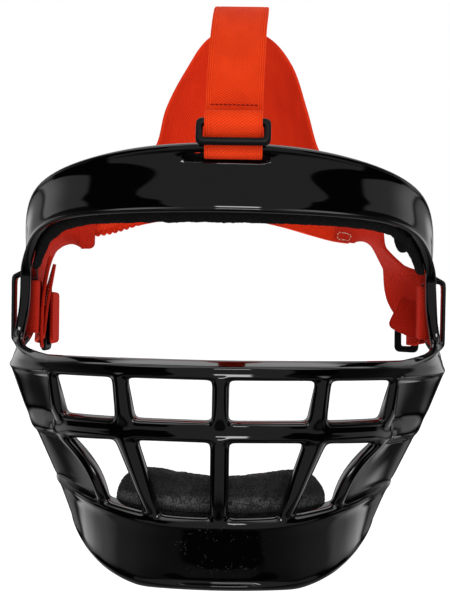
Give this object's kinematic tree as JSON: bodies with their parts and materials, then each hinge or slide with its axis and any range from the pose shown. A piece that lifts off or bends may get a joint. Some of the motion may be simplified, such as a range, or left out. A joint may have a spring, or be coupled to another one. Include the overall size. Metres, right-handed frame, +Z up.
{
  "type": "softball face mask",
  "caption": "Moulded face guard with a forehead band, barred windows and chin band, padded inside and held on the head by an elastic harness with slides.",
  "frame": {"origin": "middle of the forehead pad's rear face, where the mask rests on the wearer's forehead", "axes": "+Z up, +Y back towards the head, +X towards the wearer's left; the guard faces -Y"},
  "size_m": [0.2084, 0.1504, 0.2581],
  "materials": {
    "moulded_plastic": "glossy black moulding",
    "foam_lining": "black foam with a knitted face",
    "terry": "black looped terry",
    "elastic": "orange woven elastic, matt",
    "slide_plastic": "satin black moulding"
  },
  "bodies": {
    "root": {"frame": "moulded_plastic", "forehead_pad": "foam_lining", "chin_pad": "terry", "top_strap": "elastic", "top_slide": "slide_plastic", "rear_panel": "elastic", "side_strap_left": "elastic", "side_strap_right": "elastic", "side_slide_left": "slide_plastic", "side_slide_right": "slide_plastic"}
  },
  "joints": []
}
